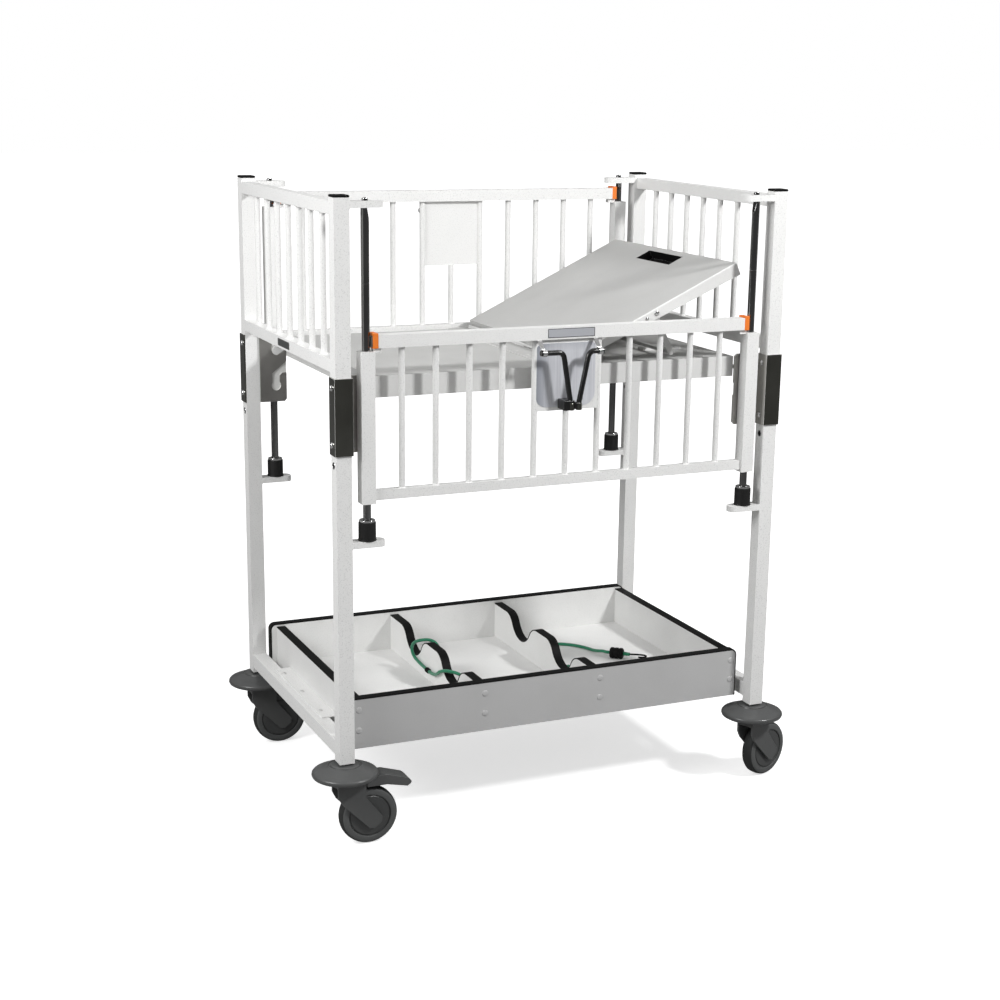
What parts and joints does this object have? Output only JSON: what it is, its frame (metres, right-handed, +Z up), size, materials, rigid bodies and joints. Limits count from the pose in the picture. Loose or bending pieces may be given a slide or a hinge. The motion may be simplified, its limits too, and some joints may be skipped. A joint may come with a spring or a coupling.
{
  "type": "pediatric hospital cot",
  "caption": "Wheeled hospital cot with barred end frames, drop gates on guide rods, a hooked-on deck with tilting backrest and a cylinder storage tray.",
  "frame": {"origin": "floor point under the middle of the overall box", "axes": "+X along the cot to the head end, +Y to the back, +Z up; the front gate faces -Y"},
  "size_m": [1.1424, 0.7652, 1.318],
  "materials": {
    "white_coat": "satin white powder coat with fine grey speckle",
    "grey_coat": "satin light grey coated sheet",
    "polished_steel": "polished stainless steel",
    "bumper_rubber": "matt black moulded rubber with a steel washer",
    "black_plastic": "black moulded plastic",
    "black_coat": "gloss black coated rod with a moulded grip",
    "orange_plastic": "bright orange moulded plastic",
    "grey_plastic": "dark grey moulded plastic",
    "wheel_rubber": "grey rubber tread on a dark grey hub",
    "tray_laminate": "light grey laminated board, black edge trim",
    "green_cord": "woven green cover over an elastic core"
  },
  "bodies": {
    "frame": {"foot_front_post": "white_coat", "foot_front_post_cap": "black_plastic", "foot_front_deck_hook": "polished_steel", "foot_front_guide_rod": "polished_steel", "foot_front_bumper": "bumper_rubber", "foot_front_caster_disc": "grey_plastic", "foot_back_post": "white_coat", "foot_back_post_cap": "black_plastic", "foot_back_deck_hook": "polished_steel", "foot_back_guide_rod": "polished_steel", "foot_back_bumper": "bumper_rubber", "foot_back_caster_disc": "grey_plastic", "head_front_post": "white_coat", "head_front_post_cap": "black_plastic", "head_front_deck_hook": "polished_steel", "head_front_guide_rod": "polished_steel", "head_front_bumper": "bumper_rubber", "head_front_caster_disc": "grey_plastic", "head_back_post": "white_coat", "head_back_post_cap": "black_plastic", "head_back_deck_hook": "polished_steel", "head_back_guide_rod": "polished_steel", "head_back_bumper": "bumper_rubber", "head_back_caster_disc": "grey_plastic", "foot_end_panel": "white_coat", "head_end_panel": "white_coat", "foot_base_rail": "white_coat", "head_base_rail": "white_coat", "foot_tray_angle": "white_coat", "head_tray_angle": "white_coat", "deck_pan": "grey_coat", "tray_front_board": "tray_laminate", "tray_back_board": "tray_laminate", "tray_foot_board": "tray_laminate", "tray_head_board": "tray_laminate", "tray_floor": "tray_laminate", "foot_divider": "tray_laminate", "head_divider": "tray_laminate", "foot_bungee_cord": "green_cord", "head_bungee_cord": "green_cord", "bungee_hook": "black_plastic"},
    "front_gate": {"front_gate": "white_coat"},
    "front_latch_bail": {"front_latch_bail": "black_coat"},
    "back_gate": {"back_gate": "white_coat"},
    "back_latch_bail": {"back_latch_bail": "black_coat"},
    "front_foot_latch_bolt": {"front_foot_latch_bolt": "orange_plastic"},
    "front_head_latch_bolt": {"front_head_latch_bolt": "orange_plastic"},
    "back_foot_latch_bolt": {"back_foot_latch_bolt": "orange_plastic"},
    "back_head_latch_bolt": {"back_head_latch_bolt": "orange_plastic"},
    "backrest": {"backrest_panel": "grey_coat"},
    "backrest_prop": {"backrest_prop": "grey_coat"},
    "foot_front_caster_fork": {"foot_front_caster_fork": "grey_plastic"},
    "foot_back_caster_fork": {"foot_back_caster_fork": "grey_plastic"},
    "head_front_caster_fork": {"head_front_caster_fork": "grey_plastic"},
    "head_back_caster_fork": {"head_back_caster_fork": "grey_plastic"},
    "foot_front_wheel": {"foot_front_wheel": "wheel_rubber"},
    "foot_back_wheel": {"foot_back_wheel": "wheel_rubber"},
    "head_front_wheel": {"head_front_wheel": "wheel_rubber"},
    "head_back_wheel": {"head_back_wheel": "wheel_rubber"},
    "brake_pedal": {"brake_pedal": "grey_plastic"}
  },
  "joints": [
    {"name": "front_gate_slide", "type": "slide", "parent": "frame", "child": "front_gate", "axis": [0, 0, 1], "range_m": [-0.032, 0.23]},
    {"name": "back_gate_slide", "type": "slide", "parent": "frame", "child": "back_gate", "axis": [0, 0, 1], "range_m": [-0.262, 0]},
    {"name": "front_bail_lift", "type": "hinge", "parent": "front_gate", "child": "front_latch_bail", "pos_m": [-0.02062, -0.35013, 1.0034], "axis": [-1, 0, 0], "range_deg": [0, 40]},
    {"name": "back_bail_lift", "type": "hinge", "parent": "back_gate", "child": "back_latch_bail", "pos_m": [-0.02062, 0.35013, 1.2334], "axis": [1, 0, 0], "range_deg": [0, 40]},
    {"name": "front_foot_bolt_pull", "type": "slide", "parent": "front_gate", "child": "front_foot_latch_bolt", "axis": [1, 0, 0], "range_m": [0, 0.0081]},
    {"name": "front_head_bolt_pull", "type": "slide", "parent": "front_gate", "child": "front_head_latch_bolt", "axis": [-1, 0, 0], "range_m": [0, 0.0081]},
    {"name": "back_foot_bolt_pull", "type": "slide", "parent": "back_gate", "child": "back_foot_latch_bolt", "axis": [1, 0, 0], "range_m": [0, 0.0081]},
    {"name": "back_head_bolt_pull", "type": "slide", "parent": "back_gate", "child": "back_head_latch_bolt", "axis": [-1, 0, 0], "range_m": [0, 0.0081]},
    {"name": "backrest_tilt", "type": "hinge", "parent": "frame", "child": "backrest", "pos_m": [0.01538, 0, 0.9705], "axis": [0, 1, 0], "range_deg": [0, 24]},
    {"name": "prop_fold", "type": "hinge", "parent": "backrest", "child": "backrest_prop", "pos_m": [0.2013, 0, 1.06391], "axis": [0, -1, 0], "range_deg": [0, 87]},
    {"name": "foot_front_swivel", "type": "hinge", "parent": "frame", "child": "foot_front_caster_fork", "pos_m": [-0.50274, -0.31412, 0.15], "axis": [0, 0, 1], "continuous": true},
    {"name": "foot_front_spin", "type": "hinge", "parent": "foot_front_caster_fork", "child": "foot_front_wheel", "pos_m": [-0.45474, -0.31412, 0.06173], "axis": [0, 1, 0], "continuous": true},
    {"name": "foot_back_swivel", "type": "hinge", "parent": "frame", "child": "foot_back_caster_fork", "pos_m": [-0.50274, 0.31412, 0.15], "axis": [0, 0, 1], "continuous": true},
    {"name": "foot_back_spin", "type": "hinge", "parent": "foot_back_caster_fork", "child": "foot_back_wheel", "pos_m": [-0.45474, 0.31412, 0.06173], "axis": [0, 1, 0], "continuous": true},
    {"name": "head_front_swivel", "type": "hinge", "parent": "frame", "child": "head_front_caster_fork", "pos_m": [0.46151, -0.31412, 0.15], "axis": [0, 0, 1], "continuous": true},
    {"name": "head_front_spin", "type": "hinge", "parent": "head_front_caster_fork", "child": "head_front_wheel", "pos_m": [0.50662, -0.29771, 0.06173], "axis": [-0.342, 0.9397, 0], "continuous": true},
    {"name": "head_back_swivel", "type": "hinge", "parent": "frame", "child": "head_back_caster_fork", "pos_m": [0.46151, 0.31412, 0.15], "axis": [0, 0, 1], "continuous": true},
    {"name": "head_back_spin", "type": "hinge", "parent": "head_back_caster_fork", "child": "head_back_wheel", "pos_m": [0.50951, 0.31412, 0.06173], "axis": [0, 1, 0], "continuous": true},
    {"name": "brake_press", "type": "hinge", "parent": "foot_front_caster_fork", "child": "brake_pedal", "pos_m": [-0.47274, -0.31412, 0.139], "axis": [0, 1, 0], "range_deg": [0, 6]}
  ],
  "couplings": [
    {"joint": "front_foot_bolt_pull", "follows": "front_bail_lift", "m_per_rad": 0.011459},
    {"joint": "front_head_bolt_pull", "follows": "front_bail_lift", "m_per_rad": 0.011459},
    {"joint": "back_foot_bolt_pull", "follows": "back_bail_lift", "m_per_rad": 0.011459},
    {"joint": "back_head_bolt_pull", "follows": "back_bail_lift", "m_per_rad": 0.011459},
    {"joint": "prop_fold", "follows": "backrest_tilt", "ratio": 3.6208}
  ]
}
